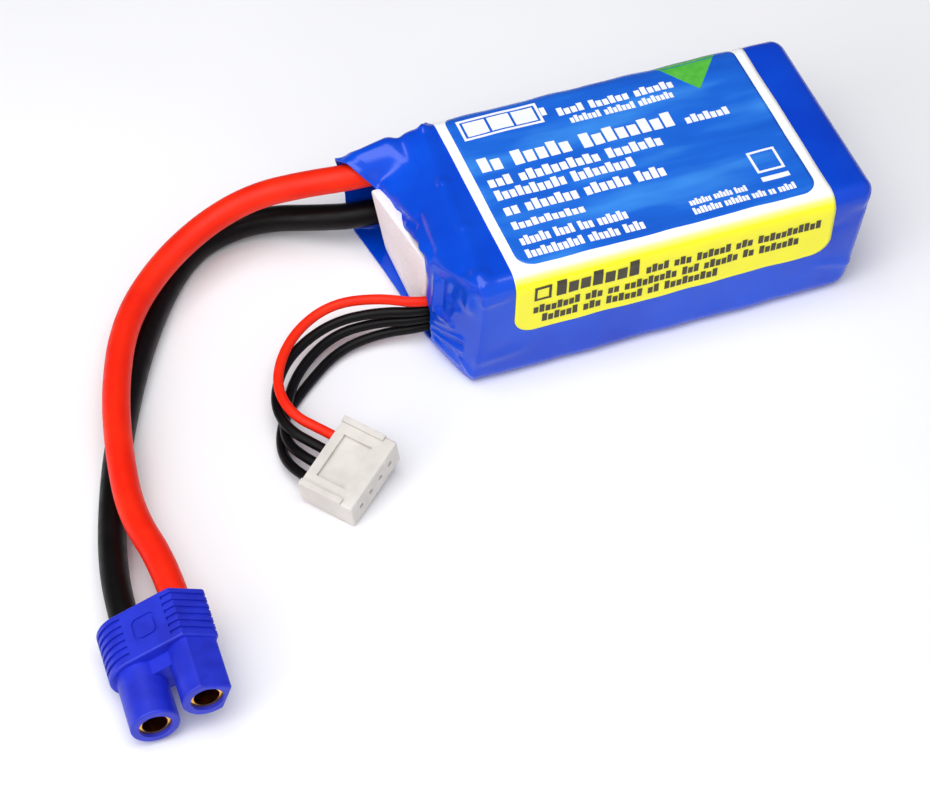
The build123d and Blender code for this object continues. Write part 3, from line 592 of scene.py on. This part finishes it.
foam = gridMesh("pad_card", padRows()[:, ::-1], closeAcross=True)
shape = bmesh.new()
shape.from_mesh(foam.data)
bmesh.ops.remove_doubles(shape, verts=shape.verts, dist=0.001 * mm)  # closes the two poles
bmesh.ops.recalc_face_normals(shape, faces=shape.faces)
shape.to_mesh(foam.data)
shape.free()
joinFrame(foam, padCard, ["front_pad"])
print("pad made")

film = gridMesh("shrink_film", sleeveRows()[:, ::-1], closeAcross=True)
addWall(film, sleeve["wall"])
joinFrame(film, shrinkFilm, ["shrink_sleeve"])
print("sleeve made")


label = {
    "front": -20.8, "rear": 29.1, "low": 26.0, "high": 73.0, "corner": 3.0,
    "out": 0.15, "wall": 0.12, "columns": 90, "rows": 100}
panel = {"front": -19.3, "rear": 27.4, "low": 38.1, "high": 70.6, "corner": 2.6, "ink": 0.02}
# green corner: a triangle with its point towards the near side
green = {"left": 14.5, "right": 24.7, "point": 19.4, "low": 63.1, "high": 69.7, "rows": 12}


def roundedEnds(place, part):
    # x of the front and rear edge at each place, drawn in by quarter circles at the corners
    corner = part["corner"]
    depth = np.minimum(place - part["low"], part["high"] - place)
    lack = np.clip(corner - depth, 0, corner)
    inset = corner - np.sqrt(corner ** 2 - lack ** 2)
    return part["front"] + inset, part["rear"] - inset


def sheetOn(name, place, front, rear, out, wall):
    # a sheet on the body: at each place, evenly spaced columns between its front and rear edge
    share = np.linspace(0, 1, label["columns"])
    x = front[:, None] + share * (rear - front)[:, None]
    sheet = gridMesh(name, bodyPoint(x, place[:, None] + 0 * x, out))
    addWall(sheet, wall)
    return sheet


easing = 0.5 - 0.5 * np.cos(np.linspace(0, np.pi, label["rows"]))  # closer rows at the corners
for name, part, out, wall, finish, replaced in (
        ("label_sheet", label, label["out"], label["wall"], labelVinyl, ["label"]),
        ("label_panel", panel, label["out"] + panel["ink"], panel["ink"], panelInk, [])):
    place = part["low"] + (part["high"] - part["low"]) * easing
    joinFrame(sheetOn(name, place, *roundedEnds(place, part), out, wall), finish,
              replaced)

share = np.linspace(0, 1, green["rows"])
joinFrame(sheetOn("label_green_corner", green["low"] + share * (green["high"] - green["low"]),
                  green["point"] + share * (green["left"] - green["point"]),
                  green["point"] + share * (green["right"] - green["point"]),
                  label["out"] + 2 * panel["ink"], panel["ink"]), greenInk)

# Lines of plain blocks stand where a printed label has its wording: x of the start and the end,
# place round the section of the line's foot, block height, and the blocks in each group.
whiteLines = [
    (-2.7, 16.0, 64.65, 1.6, (4, 6, 6)), (-1.5, 15.1, 62.65, 1.4, (7, 7, 8)),
    (-17.7, 13.2, 57.25, 2.9, (2, 5, 8)), (14.6, 21.7, 56.85, 1.6, (7,)),
    (-17.7, 9.8, 54.05, 2.0, (3, 10, 7)), (-17.6, 4.2, 51.35, 2.0, (10, 9)),
    (-17.5, 7.8, 48.15, 2.1, (2, 7, 6, 4)), (-17.5, -6.2, 45.25, 1.5, (11,)),
    (-17.5, -0.9, 42.05, 1.8, (6, 4, 3, 6)), (-17.6, 0.7, 39.45, 1.7, (11, 6, 4)),
    (8.4, 17.5, 41.35, 1.2, (7, 6, 4)), (8.3, 24.5, 39.55, 1.3, (8, 7, 4, 2, 5))]
darkLines = [
    (-14.6, -1.5, 32.1, 2.9, (7,)), (-0.7, 27.1, 31.75, 1.6, (4, 3, 6, 3, 11)),
    (-18.0, 23.8, 29.45, 1.6, (8, 3, 2, 9, 3, 6, 2, 7)), (-16.6, 11.0, 27.35, 1.6, (6, 3, 6, 2, 9))]
# open frames: x of the start and the end, place of the foot and the top, thickness of the line
whiteFrames = [(-17.8, -5.2, 64.2, 68.4, 0.42), (20.2, 24.6, 44.0, 48.4, 0.4)]
darkFrames = [(-18.0, -15.4, 32.1, 34.8, 0.4)]
# filled blocks: the bars and cap of a plain battery sign, and a bar under the small frame
whiteBlocks = [(-17.0, -13.6, 64.9, 67.7), (-13.2, -9.8, 64.9, 67.7), (-9.4, -6.0, 64.9, 67.7),
               (-5.1, -4.3, 65.5, 67.1), (20.2, 24.6, 42.2, 43.1)]
lettering = {"space": 0.8, "gap": 0.2, "short": 0.76, "rows": 5, "columns": 5}


def blocksOfLine(start, end, foot, height, groups):
    # each group's blocks side by side and a space between groups, fitted to the line's length;
    # some stand a quarter lower than others, as small letters do
    first = np.concatenate([[k == 0 for k in range(count)] for count in groups])
    left = np.arange(len(first)) + lettering["space"] * (np.cumsum(first) - 1)
    width = (end - start) / (left[-1] + 1)
    tall = height * np.where(np.sin(left * 2.4 + foot) > 0.35, 1.0, lettering["short"])
    x = start + left * width
    return np.stack([x, x + width * (1 - lettering["gap"]), foot + 0 * x, foot + tall], axis=-1)


def barsOfFrame(start, end, foot, top, line):
    # two long bars, and two short ones between them
    return np.array([(start, end, foot, foot + line), (start, end, top - line, top),
                     (start, start + line, foot + line, top - line),
                     (end - line, end, foot + line, top - line)])


def printPatches(name, blocks, out, ink):
    # every block is a small grid of points lying on the body, all in one mesh
    start, end, foot, top = np.array(blocks).T[:, :, None, None]
    u = np.linspace(0, 1, lettering["columns"])[None, None, :]
    v = np.linspace(0, 1, lettering["rows"])[None, :, None]
    x = start + (end - start) * u + 0 * v
    sheet = gridMesh(name, bodyPoint(x, foot + (top - foot) * v + 0 * u, out), smooth=False)
    addWall(sheet, panel["ink"])
    joinFrame(sheet, ink)


inkOut = label["out"] + 3 * panel["ink"]
for name, lines, frames, filled, ink in (
        ("label_white_print", whiteLines, whiteFrames, whiteBlocks, whiteInk),
        ("label_dark_print", darkLines, darkFrames, [], darkInk)):
    blocks = [blocksOfLine(*each) for each in lines] + [barsOfFrame(*each) for each in frames]
    blocks += [np.array(filled)] if filled else []
    printPatches(name, np.concatenate(blocks), inkOut, ink)
    print(name, "blocks:", sum(map(len, blocks)))


camera = {
    "eye": (-133.27, -269.08, 322.24), "right": (0.93462, -0.35449, 0.02862),
    "down": (-0.25441, -0.72265, -0.64269), "ahead": (0.24851, 0.59339, -0.76559),
    "lens": 112.46, "sensor": 36, "clip": (0.01, 10)}


floor = {"reach": 1500.0, "points": 5}
lamps = {
    "overhead": {"place": (-150, -120, 500), "size": 520, "power": 2.6},
    "side": {"place": (-420, -170, 230), "size": 230, "power": 0.55}}
lampTarget = (-20, -10, 5)
# room light: strength on the side that the leads lie on and behind the pack, and its tint
surround = {"front": 0.5, "back": 0.12, "from": -0.3, "to": 0.5, "tint": (0.95, 0.96, 1.0, 1)}


def makeFloor():
    # a flat square sheet well past the view
    line = np.linspace(-floor["reach"], floor["reach"], floor["points"])
    x, y = np.meshgrid(line, line)
    sheet = gridMesh("floor", np.stack([x, y, 0 * x], axis=-1))
    paper, tree, ground = startMaterial("paleFloor")
    cloud = addNode(tree, "TexNoise", {"Scale": 1 / (60 * mm)}, {"Vector": ground})
    colour = addNode(tree, "ValToRGB", {}, {"Fac": cloud}, [(0.3, "F6F6F8"), (0.7, "FAFAFC")])
    finishMaterial(tree, {"Roughness": 0.6}, {"Base Color": colour})
    sheet.data.materials.append(paper)


def makeLamp(name, place, size, power):
    # a square soft light turned to the object
    lamp = bpy.data.lights.new(name, "AREA")
    lamp.shape = "SQUARE"
    lamp.size = size * mm
    lamp.energy = power
    holder = bpy.data.objects.new(name, lamp)
    start = Vector(place) * mm
    holder.location = start
    holder.rotation_euler = (Vector(lampTarget) * mm - start).to_track_quat("-Z", "Y").to_euler()
    bpy.context.scene.collection.objects.link(holder)


def makeSurround():
    # pale room light, brighter on the side that the leads lie on and dim behind the pack
    world = bpy.data.worlds.new("studio")
    world.use_nodes = True
    tree = world.node_tree
    axes = addNode(tree, "SeparateXYZ", {}, {"Vector": addNode(tree, "TexCoord")})
    light = addNode(tree, "MapRange", {"From Min": surround["from"], "From Max": surround["to"],
                                       "To Min": surround["front"], "To Max": surround["back"]},
                    {"Value": (axes, "Y")})
    tree.links.new(light.outputs[0], tree.nodes["Background"].inputs["Strength"])
    tree.nodes["Background"].inputs["Color"].default_value = surround["tint"]
    bpy.context.scene.world = world


def makeCamera():
    data = bpy.data.cameras.new("camera")
    data.sensor_fit = "HORIZONTAL"
    data.sensor_width = camera["sensor"]
    data.lens = camera["lens"]
    data.clip_start, data.clip_end = camera["clip"]
    holder = bpy.data.objects.new("camera", data)
    right, down, ahead = (np.array(camera[k]) for k in ("right", "down", "ahead"))
    turn = np.eye(4)
    turn[:3, :3] = np.stack([right, -down, -ahead], axis=-1)
    turn[:3, 3] = np.array(camera["eye"]) * mm
    holder.matrix_world = Matrix(turn.tolist())
    bpy.context.scene.collection.objects.link(holder)
    bpy.context.scene.camera = holder


makeFloor()
for name, lamp in lamps.items():
    makeLamp(name, **lamp)
makeSurround()
bpy.context.scene.view_settings.view_transform = "Standard"
makeCamera()

print("scene ready")
